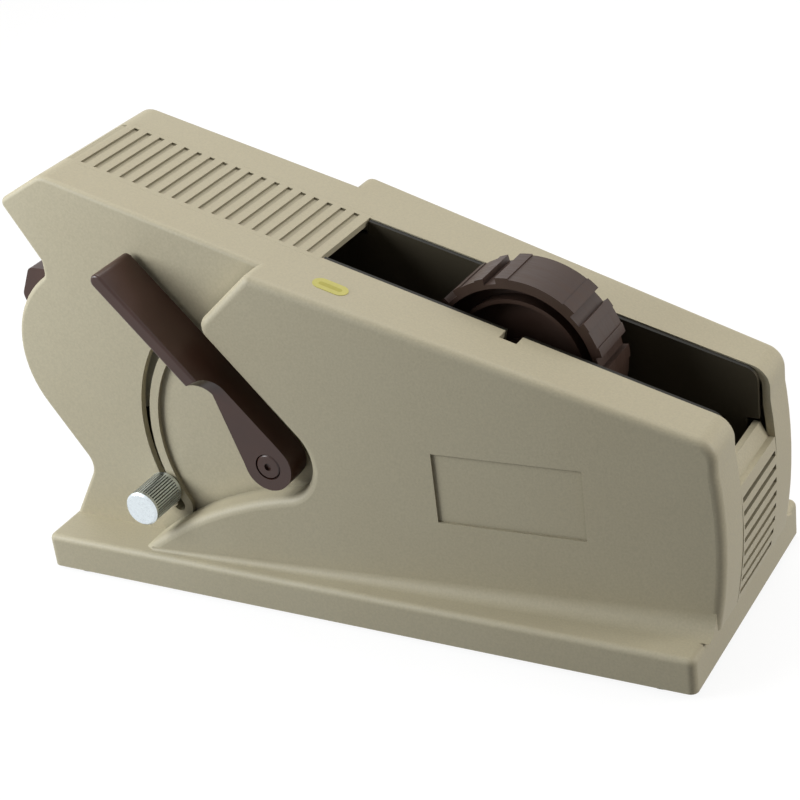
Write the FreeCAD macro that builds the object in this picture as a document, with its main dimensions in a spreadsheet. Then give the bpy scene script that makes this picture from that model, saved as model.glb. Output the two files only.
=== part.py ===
import FreeCAD, Part
import math
import os

Vector = FreeCAD.Vector
Rotation = FreeCAD.Rotation
Placement = FreeCAD.Placement

# Desk dispenser that feeds and cuts tape in set lengths. A side lever turns a toothed sector, which
# turns the feed drum behind the nose. A knurled knob in an arc slot sets how far the lever may go.
# Frame: +Z up, nose towards -X, lever on the -Y side, origin under the middle of the base.

DIMENSIONS = (
    # base, feet and ballast
    ("base_length", 292.0), ("base_width", 120.0), ("base_height", 15.0), ("base_corner", 3.2),
    ("base_edge", 2.6), ("foot_height", 2.0), ("foot_diameter", 18.0), ("foot_inset_x", 15.0),
    ("foot_inset_y", 10.5), ("tray_length", 240.0), ("tray_width", 100.0), ("tray_depth", 12.0),
    ("ballast_thickness", 8.0), ("fit_gap", 0.15),
    # side shells: the top falls to the rear, the rear walls taper in plan
    ("top_height", 138.4), ("top_fall", 0.288), ("shell_wall", 3.0), ("front_half", 40.0),
    ("rear_half", 49.8), ("side_taper", 0.067), ("well_half", 19.7), ("well_front", -14.0),
    ("bulge_radius", 42.5), ("bulge_x", -113.0), ("bulge_z", 94.0),
    ("waist_x", -129.7), ("waist_z", 42.5), ("toe_x", -144.5),
    ("mouth_x", -135.3), ("mouth_z", 137.0), ("nose_x", -150.8), ("nose_z", 162.3),
    ("peak_x", -127.5), ("rear_x", 149.8), ("rear_crown", 3.0), ("shell_edge", 3.5),
    ("lip_edge", 2.0), ("prow_x", -55.0), ("prow_z", 123.5), ("pocket_radius", 19.7),
    ("pocket_x", -33.0), ("pocket_z", 66.2), ("hill_toe", -98.0), ("cove_front", 1.2), ("cove_rear", 8.0),
    # arc slot for the length knob, label field, notches for the hub axle
    ("slot_radius", 66.3), ("slot_width", 5.4), ("slot_top", 138.0), ("slot_bottom", 211.0),
    ("slot_rim", 4.0), ("rim_height", 2.0), ("label_length", 60.0), ("label_height", 30.0),
    ("label_x", 69.5), ("label_z", 64.1), ("label_depth", 1.0),
    ("axle_x", 60.0), ("axle_z", 99.8), ("axle_diameter", 7.0), ("notch_width", 7.2),
    ("notch_reach", 25.5),
    # top cover and rear panel
    ("cover_half", 21.8), ("cover_thickness", 3.0), ("cover_gap", 0.05), ("groove_count", 19), ("groove_first", -126.4),
    ("groove_pitch", 5.95), ("groove_width", 2.4), ("groove_depth", 0.9), ("groove_length", 38.6),
    ("panel_half", 19.5), ("panel_thickness", 4.0), ("panel_top", 68.0), ("rib_count", 9),
    ("rib_pitch", 5.75), ("rib_gap", 2.2), ("rib_depth", 1.2),
    # inner frame
    ("plate_inner", 17.5), ("plate_thickness", 2.0), ("spacer_diameter", 9.0),
    ("bush_diameter", 12.0), ("bush_flange", 16.0), ("bush_gap", 0.06),
    # lever, its shaft and the toothed sector
    ("pivot_x", -29.8), ("pivot_z", 66.2), ("lever_angle", 118.4), ("boss_radius", 10.5),
    ("arm_length", 36.2), ("paddle_length", 61.8), ("paddle_bend", 14.1), ("paddle_thickness", 6.0),
    ("lever_inner", 42.5), ("lever_outer", 64.0), ("boss_outer", 54.5), ("arm_outer", 55.6),
    ("lever_edge", 1.2), ("shaft_diameter", 8.0),
    ("gear_module", 2.0), ("pinion_teeth", 24), ("sector_teeth", 63), ("mesh_angle", 161.4),
    ("sector_cut", 12), ("gear_backlash", 0.24), ("sector_y", 23.0), ("sector_thickness", 5.0),
    ("pinion_y", 22.0), ("pinion_thickness", 7.0),
    # feed drum, guide roller, cutter
    ("drum_x", -112.256), ("drum_z", 93.9495), ("drum_radius", 31.0), ("drum_half", 15.0),
    ("tyre_thickness", 2.5), ("roller_x", -58.0), ("roller_z", 126.0), ("roller_radius", 9.0),
    ("roller_pin", 6.0), ("head_half", 30.0), ("blade_half", 15.0), ("blade_thickness", 1.0),
    ("blade_pitch", 2.5),
    # length stop
    ("knob_angle", 203.0), ("knob_diameter", 15.0), ("knob_inner", 42.4), ("knob_outer", 62.0),
    ("stud_diameter", 4.8), ("knurl_count", 40), ("knurl_depth", 0.45),
    # tape hub for a 76 mm core
    ("hub_radius", 37.4), ("hub_lip", 37.9), ("hub_rim", 35.4), ("rim_wall", 1.8), ("hub_half", 11.5),
    ("pad_gap", 8.0), ("lip_width", 8.0),
    ("wide_pad", 52.0), ("narrow_pad", 22.0), ("pad_sets", 4),
)

doc = FreeCAD.newDocument("length_dispenser")
sheet = doc.addObject("Spreadsheet::Sheet", "Dims")
for row, (alias, number) in enumerate(DIMENSIONS, start=1):
    sheet.set("A%d" % row, alias)
    sheet.set("B%d" % row, str(number))
    sheet.setAlias("B%d" % row, alias)
doc.recompute()

pieces = []


# Small tools for the document


def dim(alias):
    return float(getattr(sheet, alias))


def bind(thing, settings):
    """Tie properties of an object to cells of the sheet."""
    for name, expression in settings.items():
        thing.setExpression(name, expression)


def keep(piece, label):
    """Name a finished piece and put it on the list of those that are written out."""
    piece.Label = label
    pieces.append(piece)
    return piece


def new_body(name):
    return doc.addObject("PartDesign::Body", name)


def origin_feature(body, role):
    return [feature for feature in body.Origin.OriginFeatures if feature.Role == role][0]


def new_sketch(body, name, plane="XZ_Plane", offset=None, turn=None):
    """Sketch on one of the body's own planes, shifted along its normal by a cell or turned in place."""
    sketch = body.newObject("Sketcher::SketchObject", name)
    sketch.AttachmentSupport = [(origin_feature(body, plane), "")]
    sketch.MapMode = "FlatFace"
    if turn is not None:
        sketch.AttachmentOffset = turn
    if offset is not None:
        bind(sketch, {"AttachmentOffset.Base.z": offset})
    return sketch


def flat(point):
    return Vector(point[0], point[1], 0)


def outline(sketch, corners):
    """Closed outline. A corner with a third item is a point on the arc between its neighbours."""
    count = len(corners)
    at = 0
    while at < count:
        start = corners[at]
        following = corners[(at + 1) % count]
        if len(following) == 3:
            end = corners[(at + 2) % count]
            sketch.addGeometry(Part.Arc(flat(start), flat(following), flat(end)), False)
            at += 2
        else:
            sketch.addGeometry(Part.LineSegment(flat(start), flat(following)), False)
            at += 1


def circle(sketch, centre, radius):
    sketch.addGeometry(Part.Circle(flat(centre), Vector(0, 0, 1), radius), False)


def box_outline(x_low, y_low, x_high, y_high):
    return [(x_low, y_low), (x_high, y_low), (x_high, y_high), (x_low, y_high)]


def polar(centre, radius, degrees):
    angle = math.radians(degrees)
    return (centre[0] + radius * math.cos(angle), centre[1] + radius * math.sin(angle))


def rounded(before, corner, after, radius):
    """Start, middle and end of the arc that rounds a corner between two straight lines."""
    a = (flat(before) - flat(corner)).normalize()
    b = (flat(after) - flat(corner)).normalize()
    half = a.getAngle(b) / 2
    reach = radius / math.tan(half)
    centre = flat(corner) + (a + b).normalize() * (radius / math.sin(half))
    middle = centre + (flat(corner) - centre).normalize() * radius
    start = flat(corner) + a * reach
    end = flat(corner) + b * reach
    return [(start.x, start.y), (middle.x, middle.y, "arc"), (end.x, end.y)]


def swing(start, heading, end):
    """Middle of the arc that leaves a point in a given direction and reaches another."""
    chord = flat(end) - flat(start)
    turn = math.atan2(chord.y, chord.x) - math.radians(heading)
    turn = (turn + math.pi) % (2 * math.pi) - math.pi
    rise = chord.Length / 2 * math.tan(turn / 2)
    middle = (flat(start) + flat(end)) / 2 + Vector(chord.y, -chord.x, 0).normalize() * rise
    return (middle.x, middle.y, "arc")


def ring_sector(centre, inner, outer, first, last):
    """Outline of a piece of a ring between two angles."""
    middle = (first + last) / 2
    outer_middle = polar(centre, outer, middle)
    inner_middle = polar(centre, inner, middle)
    return [polar(centre, outer, first), (outer_middle[0], outer_middle[1], "arc"),
            polar(centre, outer, last), polar(centre, inner, last),
            (inner_middle[0], inner_middle[1], "arc"), polar(centre, inner, first)]


def arc_slot(centre, radius, width, first, last):
    """Outline of a slot along an arc, with round ends."""
    half = width / 2
    middle = (first + last) / 2
    points = []
    points.append(polar(centre, radius + half, first))
    points.append(polar(centre, radius + half, middle) + ("arc",))
    points.append(polar(centre, radius + half, last))
    end = polar(centre, radius, last)
    points.append(polar(end, half, last + 90) + ("arc",))
    points.append(polar(centre, radius - half, last))
    points.append(polar(centre, radius - half, middle) + ("arc",))
    points.append(polar(centre, radius - half, first))
    start = polar(centre, radius, first)
    points.append(polar(start, half, first - 90) + ("arc",))
    return points


def pad(body, sketch, name, length, reverse=False, both=False):
    feature = body.newObject("PartDesign::Pad", name)
    feature.Profile = sketch
    feature.Reversed = reverse
    feature.SideType = "Symmetric" if both else "One side"
    bind(feature, {"Length": length})
    return feature


def pocket(body, sketch, name, length, reverse=False, both=False):
    feature = body.newObject("PartDesign::Pocket", name)
    feature.Profile = sketch
    feature.Reversed = reverse
    feature.SideType = "Symmetric" if both else "One side"
    bind(feature, {"Length": length})
    return feature


def fillet(body, name, radius, wanted):
    """Round the edges of the body's tip whose middle point and box pass the test."""
    doc.recompute()
    tip = body.Tip
    names = []
    for number, edge in enumerate(tip.Shape.Edges, start=1):
        middle = edge.valueAt((edge.FirstParameter + edge.LastParameter) / 2)
        if wanted(edge, middle):
            names.append("Edge%d" % number)
    feature = body.newObject("PartDesign::Fillet", name)
    feature.Base = (tip, names)
    bind(feature, {"Radius": radius})
    return feature


def turned(label, corners, x="0", y="0", z="0"):
    """Piece turned about its Y axis from an outline of (radius, y) corners."""
    body = new_body(label)
    sketch = new_sketch(body, label + "_section", "XY_Plane")
    outline(sketch, corners)
    feature = body.newObject("PartDesign::Revolution", label + "_turn")
    feature.Profile = sketch
    feature.ReferenceAxis = (sketch, ["V_Axis"])
    feature.Angle = 360
    bind(body, {"Placement.Base.x": x, "Placement.Base.y": y, "Placement.Base.z": z})
    return keep(body, label)


def rod(name, radius, y_start, y_length, x, z):
    """Plain cylinder along +Y."""
    cylinder = doc.addObject("Part::Cylinder", name)
    cylinder.Placement = Placement(Vector(), Rotation(Vector(1, 0, 0), -90))
    bind(cylinder, {"Radius": radius, "Height": y_length, "Placement.Base.x": x,
                    "Placement.Base.y": y_start, "Placement.Base.z": z})
    return cylinder


def group(label, members):
    """Like pieces that share one node."""
    compound = doc.addObject("Part::Compound", label)
    compound.Links = members
    return keep(compound, label)


# Lines that several pieces share

FLANGE_TOP = dim("foot_height") + dim("base_height")
PIVOT = (dim("pivot_x"), dim("pivot_z"))
DRUM = (dim("drum_x"), dim("drum_z"))
BULGE = (dim("bulge_x"), dim("bulge_z"))
POCKET = (dim("pocket_x"), dim("pocket_z"))
AXLE = (dim("axle_x"), dim("axle_z"))


def top_at(x):
    return dim("top_height") - dim("top_fall") * x


def on_top(x, below=0.0):
    """Point on the sloping top, or square below it."""
    slant = math.hypot(1, dim("top_fall"))
    return (x - below * dim("top_fall") / slant, top_at(x) - below / slant)


def rear_edge(inset=0.0):
    """The crowned rear end from the rounded top corner down to the base."""
    x = dim("rear_x") - inset
    corner = (x, top_at(x) - inset)
    low = (x - dim("rear_crown") * 0.6, FLANGE_TOP)
    start = (x, corner[1] - 12)
    return rounded((0, top_at(0) - inset), corner, start, 9.0 - inset) + [
        start, (x + dim("rear_crown") * 0.6, 52.0, "arc"), low]


def tangent_below(centre, radius, point):
    """Where the line from a point below and behind touches the front of a circle."""
    dx = point[0] - centre[0]
    dz = point[1] - centre[1]
    towards = math.degrees(math.atan2(dz, dx)) % 360
    return towards - math.degrees(math.acos(radius / math.hypot(dx, dz)))


def front_edge():
    """Toe, waist, drum bulge, mouth notch and nose, from the base up to the peak."""
    toe = (dim("toe_x"), FLANGE_TOP)
    waist = (dim("waist_x"), dim("waist_z"))
    radius = dim("bulge_radius")
    low = tangent_below(BULGE, radius, waist)
    mouth = (dim("mouth_x"), dim("mouth_z"))
    inner = 3.0
    throat_x = mouth[0] - inner
    high = 180 - math.degrees(math.acos((BULGE[0] - throat_x) / (radius + inner)))
    throat = polar(BULGE, radius + inner, high)
    touch = polar(BULGE, radius, low)
    nose = (dim("nose_x"), dim("nose_z"))
    peak = on_top(dim("peak_x"))
    points = [toe]
    points += rounded(toe, waist, touch, 9.0)
    points.append(touch)
    points.append(polar(BULGE, radius, (low + high) / 2) + ("arc",))
    points.append(polar(BULGE, radius, high))
    points.append(polar(throat, inner, (high - 180) / 2) + ("arc",))
    points.append((mouth[0], throat[1]))
    points += rounded((mouth[0], mouth[1] - 10), mouth, nose, inner)
    points += rounded(mouth, nose, peak, 3.0)
    points += rounded(nose, peak, on_top(0), 9.0)
    return points


def side_profile():
    return front_edge() + rear_edge()


def proud_profile():
    """The part of a side wall that stands out behind the lever's recess, all its corners rounded."""
    prow = (dim("prow_x"), dim("prow_z"))
    rise = 31.5 / 34.5
    step = (top_at(prow[0]) - prow[1]) / (rise + dim("top_fall"))
    shoulder = on_top(prow[0] + step)
    wide = dim("pocket_radius")
    narrow = 0.832 * wide
    away = math.hypot(prow[0] - POCKET[0], prow[1] - POCKET[1])
    first = math.degrees(math.atan2(prow[1] - POCKET[1], prow[0] - POCKET[0]) - math.acos(wide / away))
    change = 5.0
    last = -78.5
    throat = polar(POCKET, wide, first)
    centre = polar(POCKET, wide - narrow, change)
    points = rounded(on_top(0), shoulder, prow, 4.0)
    points += rounded(shoulder, prow, throat, 6.0)
    points += [throat, polar(POCKET, wide, (first + change) / 2) + ("arc",), polar(POCKET, wide, change)]
    points += [polar(centre, narrow, (change + last) / 2) + ("arc",), polar(centre, narrow, last)]
    toe = (dim("hill_toe"), FLANGE_TOP)
    points += [swing(points[-1], last - 90, toe), toe]
    return points + list(reversed(rear_edge()))


def cavity_profile():
    """Room inside a side shell, open to the base below."""
    wall = dim("shell_wall")
    radius = dim("bulge_radius") - wall
    waist = (dim("waist_x") + wall * 1.3, dim("waist_z"))
    low = tangent_below(BULGE, radius, waist)
    high = 118.0
    points = [(dim("toe_x") + wall * 1.3, FLANGE_TOP - 1), waist, polar(BULGE, radius, low)]
    points.append(polar(BULGE, radius, (low + high) / 2) + ("arc",))
    points.append(polar(BULGE, radius, high))
    points.append(on_top(dim("peak_x") + 6, wall + dim("cover_thickness")))
    points.append(on_top(dim("well_front") + 0.3, wall + dim("cover_thickness")))
    points.append(on_top(dim("well_front") + 0.3, wall))
    edge = rear_edge(wall)
    edge[-1] = (edge[-1][0], FLANGE_TOP - 1)
    return points + edge


def cover_profile(gap):
    """Section of the strip that covers the nose and the top in front of the tape well."""
    depth = dim("cover_thickness") + gap
    nose = (dim("nose_x"), dim("nose_z"))
    peak = on_top(dim("peak_x"))
    mouth = (dim("mouth_x"), dim("mouth_z"))
    points = [on_top(dim("well_front") + gap)]
    points += list(reversed(rounded(nose, peak, on_top(0), 9.0)))
    points += list(reversed(rounded(mouth, nose, peak, 3.0)))
    points.append((nose[0] + 5.2, nose[1] - 5.2 - gap))
    points.append(on_top(dim("peak_x") - 0.5, depth))
    points.append(on_top(dim("well_front") + gap, depth))
    return points


def axle_slot(width, seat):
    """U slot square to the top, down to the hub axle's seat."""
    slant = math.hypot(1, dim("top_fall"))
    out = Vector(dim("top_fall") / slant, 1 / slant, 0)
    across = Vector(out.y, -out.x, 0) * (width / 2)
    centre = flat(AXLE)
    mouth = centre + out * 40
    corners = [mouth - across, centre - across]
    bottom = centre - out * seat
    corners += [Vector(bottom.x, bottom.y, 1), centre + across, mouth + across]
    return [(c.x, c.y, "arc") if c.z else (c.x, c.y) for c in corners]


# Base moulding with its ballast and feet


def make_base():
    body = new_body("base")
    sketch = new_sketch(body, "base_plan", "XY_Plane", "Dims.foot_height")
    half_x = dim("base_length") / 2
    half_y = dim("base_width") / 2
    corner = dim("base_corner")
    frame = box_outline(-half_x, -half_y, half_x, half_y)
    points = []
    for at in range(4):
        points += rounded(frame[at - 1], frame[at], frame[(at + 1) % 4], corner)
    outline(sketch, points)
    pad(body, sketch, "base_block", "Dims.base_height")
    under = new_sketch(body, "tray_plan", "XY_Plane", "Dims.foot_height")
    half_x = dim("tray_length") / 2
    half_y = dim("tray_width") / 2
    outline(under, box_outline(-half_x, -half_y, half_x, half_y))
    pocket(body, under, "tray", "Dims.tray_depth", reverse=True)
    fillet(body, "base_rounding", "Dims.base_edge",
           lambda edge, middle: abs(middle.z - FLANGE_TOP) < 0.01)
    keep(body, "base")


def make_ballast():
    plate = doc.addObject("Part::Box", "ballast_plate")
    bind(plate, {"Length": "Dims.tray_length - 2 * Dims.fit_gap",
                 "Width": "Dims.tray_width - 2 * Dims.fit_gap",
                 "Height": "Dims.ballast_thickness",
                 "Placement.Base.x": "-Dims.tray_length / 2 + Dims.fit_gap",
                 "Placement.Base.y": "-Dims.tray_width / 2 + Dims.fit_gap",
                 "Placement.Base.z": "Dims.foot_height + Dims.tray_depth - Dims.ballast_thickness"})
    keep(plate, "ballast_plate")


def make_feet():
    feet = []
    for x_sign in (-1, 1):
        for y_sign in (-1, 1):
            foot = doc.addObject("Part::Cone", "foot")
            bind(foot, {"Radius1": "Dims.foot_diameter / 2 - 0.8", "Radius2": "Dims.foot_diameter / 2",
                        "Height": "Dims.foot_height",
                        "Placement.Base.x": "%d * (Dims.base_length / 2 - Dims.foot_inset_x)" % x_sign,
                        "Placement.Base.y": "%d * (Dims.base_width / 2 - Dims.foot_inset_y)" % y_sign})
            feet.append(foot)
    group("rubber_feet", feet)


def make_ballast_screws():
    screws = []
    for x_sign in (-1, 1):
        for y_sign in (-1, 1):
            screw = doc.addObject("Part::Cylinder", "ballast_screw")
            bind(screw, {"Radius": "4.5", "Height": "2.4",
                         "Placement.Base.x": "%d * 0.38 * Dims.tray_length" % x_sign,
                         "Placement.Base.y": "%d * 0.34 * Dims.tray_width" % y_sign,
                         "Placement.Base.z": "Dims.foot_height + Dims.tray_depth"
                                             " - Dims.ballast_thickness - 2.4"})
            screws.append(screw)
    group("ballast_screws", screws)


# Side shells


def make_shell(label, side):
    """One side of the housing. The lever side has the arc slot, the shaft hole and the label field."""
    outwards = side > 0
    body = new_body(label)
    inner = "%d * Dims.well_half" % -side
    sketch = new_sketch(body, label + "_side", "XZ_Plane", inner)
    outline(sketch, side_profile())
    pad(body, sketch, label + "_front", "Dims.front_half - Dims.well_half", reverse=outwards)
    fillet(body, label + "_lip_rounding", "Dims.lip_edge", lambda edge, middle: on_lip(edge, side))
    proud = new_sketch(body, label + "_proud", "XZ_Plane", "%d * (Dims.front_half - 4)" % -side)
    outline(proud, proud_profile())
    pad(body, proud, label + "_rear", "Dims.rear_half - Dims.front_half + 18", reverse=outwards)
    plan = new_sketch(body, label + "_taper", "XY_Plane")
    reach = 170.0
    near = dim("rear_half") + dim("side_taper") * reach
    far = dim("rear_half") - dim("side_taper") * reach
    beyond = near + 20
    outline(plan, [(-reach, side * near), (reach, side * far), (reach, side * beyond),
                   (-reach, side * beyond)])
    pocket(body, plan, label + "_side_cut", "Dims.top_height + 60", reverse=True)
    fillet(body, label + "_wall_rounding", "Dims.shell_edge",
           lambda edge, middle: on_side(edge, side) and middle.z > FLANGE_TOP + 1)
    add_cove(body, label, side)
    room = new_sketch(body, label + "_room", "XZ_Plane", inner)
    outline(room, cavity_profile())
    pocket(body, room, label + "_cavity", "Dims.front_half - Dims.well_half - Dims.shell_wall",
           reverse=not outwards)
    rebate = new_sketch(body, label + "_rebate", "XZ_Plane", inner)
    outline(rebate, cover_profile(dim("cover_gap")))
    pocket(body, rebate, label + "_cover_seat", "Dims.cover_half - Dims.well_half + Dims.cover_gap",
           reverse=not outwards)
    notch = new_sketch(body, label + "_notch", "XZ_Plane", inner)
    outline(notch, axle_slot(dim("notch_width"), dim("notch_width") / 2))
    pocket(body, notch, label + "_axle_notch", "Dims.notch_reach - Dims.well_half",
           reverse=not outwards)
    if side < 0:
        cut_lever_side(body)
    doc.recompute()
    return keep(body, label)


def on_side(edge, side):
    """True for an edge in the slanted outer plane of a rear wall."""
    spots = [edge.valueAt(edge.FirstParameter), edge.valueAt(edge.LastParameter)]
    spots.append(edge.valueAt((edge.FirstParameter + edge.LastParameter) / 2))
    return all(abs(side * spot.y - dim("rear_half") + dim("side_taper") * spot.x) < 0.01 for spot in spots)


def on_lip(edge, side):
    """True for an edge of the flat outer face of the front part, except along the base."""
    spots = [edge.valueAt(edge.FirstParameter), edge.valueAt(edge.LastParameter)]
    middle = edge.valueAt((edge.FirstParameter + edge.LastParameter) / 2)
    if any(abs(side * spot.y - dim("front_half")) > 0.01 for spot in spots + [middle]):
        return False
    return middle.z > FLANGE_TOP + 1


def rim_outline(reach, first, last):
    """Band along the inner side of the arc slot, carried round the slot's lower end."""
    radius = dim("slot_radius")
    middle = (first + last) / 2
    end = polar(PIVOT, radius, last)
    return [polar(PIVOT, radius, first), polar(PIVOT, radius, middle) + ("arc",), end,
            polar(PIVOT, radius + reach, last), polar(end, reach, last + 90) + ("arc",),
            polar(PIVOT, radius - reach, last), polar(PIVOT, radius - reach, middle) + ("arc",),
            polar(PIVOT, radius - reach, first)]


def add_cove(body, label, side):
    """Hollow rounding along the foot of a rear wall, growing towards the rear."""
    sections = []
    for name, x, size in (("front", dim("hill_toe") + 4, "cove_front"), ("rear", 147.4, "cove_rear")):
        radius = dim(size)
        sketch = new_sketch(body, "%s_cove_%s" % (label, name), "YZ_Plane",
                            turn=Placement(Vector(0, 0, x), Rotation()))
        wall = dim("rear_half") - dim("side_taper") * x
        deep = wall - 1.0
        bow = radius * (1 - math.sqrt(0.5))
        corners = [(deep, FLANGE_TOP), (wall + radius, FLANGE_TOP),
                   (wall + bow, FLANGE_TOP + bow, "arc"), (wall, FLANGE_TOP + radius),
                   (deep, FLANGE_TOP + radius)]
        outline(sketch, [(side * corner[0],) + corner[1:] for corner in corners])
        sections.append(sketch)
    loft = body.newObject("PartDesign::AdditiveLoft", label + "_cove")
    loft.Profile = sections[0]
    loft.Sections = sections[1:]
    loft.Ruled = True


def cut_lever_side(body):
    floor = "Dims.front_half"
    rim = new_sketch(body, "slot_rim", "XZ_Plane", floor)
    slot_width = dim("slot_width")
    ends = (dim("slot_top"), dim("slot_bottom"))
    outline(rim, rim_outline(slot_width / 2 + dim("slot_rim"), *ends))
    pad(body, rim, "slot_rim_band", "Dims.rim_height")
    slot = new_sketch(body, "slot_outline", "XZ_Plane", "Dims.front_half + Dims.rim_height")
    outline(slot, arc_slot(PIVOT, dim("slot_radius"), slot_width, *ends))
    pocket(body, slot, "arc_slot", "Dims.shell_wall + Dims.rim_height + 1")
    hole = new_sketch(body, "shaft_hole_outline", "XZ_Plane", floor)
    circle(hole, PIVOT, dim("bush_diameter") / 2)
    pocket(body, hole, "shaft_hole", "Dims.shell_wall + 1")
    turn = math.degrees(math.atan(dim("side_taper")))
    middle = dim("rear_half") - dim("side_taper") * dim("label_x")
    place = Placement(Vector(dim("label_x"), dim("label_z"), middle), Rotation(Vector(0, 1, 0), turn))
    field = new_sketch(body, "label_field", "XZ_Plane", turn=place)
    half_x = dim("label_length") / 2
    half_z = dim("label_height") / 2
    outline(field, box_outline(-half_x, -half_z, half_x, half_z))
    pocket(body, field, "label_recess", "Dims.label_depth")


# Top cover and rear panel


def make_top_cover():
    body = new_body("top_cover")
    sketch = new_sketch(body, "cover_section")
    outline(sketch, cover_profile(0.0))
    pad(body, sketch, "cover_strip", "2 * Dims.cover_half", both=True)
    grooves = new_sketch(body, "groove_sections")
    half = dim("groove_width") / 2
    for number in range(int(dim("groove_count"))):
        x = dim("groove_first") + number * dim("groove_pitch")
        outline(grooves, [on_top(x - half, -1.0), on_top(x - half, dim("groove_depth")),
                          on_top(x + half, dim("groove_depth")), on_top(x + half, -1.0)])
    pocket(body, grooves, "cover_grooves", "Dims.groove_length", both=True)
    keep(body, "top_cover")


def make_rear_panel():
    body = new_body("rear_panel")
    sketch = new_sketch(body, "panel_section")
    back = dim("rear_x") + dim("rear_crown") * 0.6
    low = dim("rear_x") - dim("rear_crown") * 0.6
    top = dim("panel_top")
    inner = low - dim("panel_thickness")
    outline(sketch, [(low, FLANGE_TOP), (back, 46.0, "arc"), (back - 0.5, top), (back - 3.0, top),
                     (inner + 1.5, top + 6.0), (inner - 1.0, top + 6.0), (inner - 1.0, FLANGE_TOP)])
    pad(body, sketch, "panel_plate", "2 * Dims.panel_half", both=True)
    ribs = new_sketch(body, "rib_sections")
    half = dim("rib_gap") / 2
    for number in range(int(dim("rib_count"))):
        z = top - 6.3 - number * dim("rib_pitch")
        bulge = dim("rear_crown") * 1.2 * (1 - ((z - 46.0) / 30.0) ** 2)
        x = low + bulge - dim("rib_depth")
        outline(ribs, box_outline(x, z - half, x + 8, z + half))
    pocket(body, ribs, "panel_grooves", "2 * Dims.panel_half - 2.4", both=True)
    keep(body, "rear_panel")


# Inner frame: two black plates, spacers, bushes


SPACERS = ((-58.0, 32.0), (8.0, 32.0), (122.0, 34.0), (-34.0, 108.0))


def plate_profile():
    gap = 0.3
    wall = dim("shell_wall") + gap
    radius = dim("bulge_radius") - wall
    foot = (dim("waist_x") + 12, FLANGE_TOP)
    low = 245.0
    high = 112.0
    points = [foot, polar(BULGE, radius, low)]
    points.append(polar(BULGE, radius, (low + high) / 2) + ("arc",))
    points.append(polar(BULGE, radius, high))
    points.append(on_top(dim("peak_x") + 12, wall + dim("cover_thickness")))
    points.append(on_top(dim("well_front") + 0.8, wall + dim("cover_thickness")))
    below = 0.4
    ledge = dim("panel_top") + 8
    points.append(on_top(dim("well_front") + 0.8, below))
    rear = dim("rear_x") - 4
    points += rounded(on_top(0, below), (rear, top_at(rear) - below - 0.1), (rear, ledge), 6.0)
    points += [(rear, ledge), (dim("rear_x") - 9, ledge), (dim("rear_x") - 9, FLANGE_TOP)]
    return points


def make_plate(label, side):
    body = new_body(label)
    sketch = new_sketch(body, label + "_outline", "XZ_Plane", "%d * Dims.plate_inner" % -side)
    outline(sketch, plate_profile())
    pad(body, sketch, label + "_blank", "Dims.plate_thickness", reverse=side > 0)
    holes = new_sketch(body, label + "_holes", "XZ_Plane", "%d * Dims.plate_inner" % -side)
    circle(holes, DRUM, dim("bush_diameter") / 2)
    circle(holes, (dim("roller_x"), dim("roller_z")), dim("roller_pin") / 2)
    for centre in SPACERS:
        circle(holes, centre, 2.0)
    if side < 0:
        circle(holes, PIVOT, dim("bush_diameter") / 2)
    outline(holes, axle_slot(dim("notch_width"), dim("notch_width") / 2))
    pocket(body, holes, label + "_bores", "Dims.plate_thickness", reverse=side < 0)
    keep(body, label)


def make_well_floor():
    """Black pan between the plates, under the tape roll."""
    pan = doc.addObject("Part::Box", "well_floor")
    bind(pan, {"Length": "Dims.rear_x - 12 + 70", "Width": "2 * Dims.plate_inner", "Height": "1.5",
               "Placement.Base.x": "-70", "Placement.Base.y": "-Dims.plate_inner",
               "Placement.Base.z": "Dims.foot_height + Dims.base_height"})
    keep(pan, "well_floor")


def make_spacers():
    rods = []
    screws = []
    for x, z in SPACERS:
        rods.append(rod("spacer", "Dims.spacer_diameter / 2", "-Dims.plate_inner",
                        "2 * Dims.plate_inner", str(x), str(z)))
        for side in (-1, 1):
            head = "Dims.plate_inner + Dims.plate_thickness"
            start = head if side > 0 else "-(%s) - 2.2" % head
            screws.append(rod("spacer_screw", "3.5", start, "2.2", str(x), str(z)))
    group("frame_spacers", rods)
    group("spacer_screws", screws)


def bush_section(bore, start, plate, flange):
    """Flanged bush as (radius, y) corners: the barrel sits in the plate, the flange beyond it."""
    outer = dim("bush_diameter") / 2
    rim = dim("bush_flange") / 2
    mid = start + plate
    end = mid + flange
    return [(bore, start), (outer, start), (outer, mid), (rim, mid), (rim, end), (bore, end)]


def make_bushes():
    bore = dim("shaft_diameter") / 2 + dim("bush_gap")
    inner = dim("plate_inner")
    thick = dim("plate_thickness")
    place = {"x": "Dims.drum_x", "z": "Dims.drum_z"}
    turned("drum_bush_lever_side", bush_section(bore, -inner, -thick, -1.2), **place)
    turned("drum_bush_plain_side", bush_section(bore, inner, thick, 1.2), **place)
    place = {"x": "Dims.pivot_x", "z": "Dims.pivot_z"}
    turned("lever_bush_inner", bush_section(bore, -inner, -thick, -1.2), **place)
    wall = dim("shell_wall")
    floor = dim("front_half")
    turned("lever_bush_outer", bush_section(bore, wall - floor, -wall, -1.8), **place)


# Lever, its shaft and the toothed sector


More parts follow.
